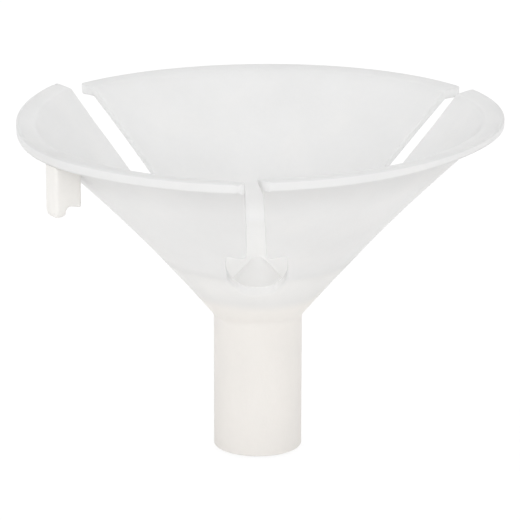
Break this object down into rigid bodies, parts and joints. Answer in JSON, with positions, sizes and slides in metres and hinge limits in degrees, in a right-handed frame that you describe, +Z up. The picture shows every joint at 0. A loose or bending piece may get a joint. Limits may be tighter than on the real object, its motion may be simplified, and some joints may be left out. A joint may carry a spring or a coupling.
{
  "type": "slotted funnel cup",
  "caption": "Small milky plastic cone like a funnel: flared lip, slots that end in wider windows, a hook under the rim, and a closed socket stem for a balloon stick.",
  "frame": {"origin": "centre of the stick socket's mouth, in the plane of the stem's open end", "axes": "+Z up the stem to the open mouth of the cone, -Y toward the front slot (which lies 0.8 degree off -Y toward +X), +X to the right as seen from the front"},
  "size_m": [0.0398, 0.0404, 0.0287],
  "materials": {
    "thin_plastic": "satin natural polypropylene, milky and translucent, slightly cool where thin",
    "lip_plastic": "satin natural polypropylene, brighter where the lip is thicker",
    "thick_plastic": "satin natural polypropylene, warmer where it is thick"
  },
  "bodies": {
    "hub": {"stem": "thick_plastic", "socket_cap": "thick_plastic", "base_cone": "thin_plastic"},
    "right_petal": {"petal_right": "thin_plastic", "lip_right": "lip_plastic"},
    "back_petal": {"petal_back": "thin_plastic", "lip_back": "lip_plastic"},
    "left_petal": {"petal_left": "thin_plastic", "lip_left": "lip_plastic", "neck_hook": "thick_plastic"}
  },
  "joints": [
    {"name": "right_petal_flex", "type": "hinge", "parent": "hub", "child": "right_petal", "pos_m": [0.00607, -0.00349, 0.0169], "axis": [0.4985, 0.8669, 0], "range_deg": [-2, 4], "stiffness_Nm_per_rad": 0.2},
    {"name": "back_petal_flex", "type": "hinge", "parent": "hub", "child": "back_petal", "pos_m": [0.00031, 0.00699, 0.0169], "axis": [-0.999, 0.0436, 0], "range_deg": [-2, 4], "stiffness_Nm_per_rad": 0.2},
    {"name": "left_petal_flex", "type": "hinge", "parent": "hub", "child": "left_petal", "pos_m": [-0.00617, -0.00331, 0.0169], "axis": [0.4726, -0.8813, 0], "range_deg": [-2, 4], "stiffness_Nm_per_rad": 0.2}
  ]
}
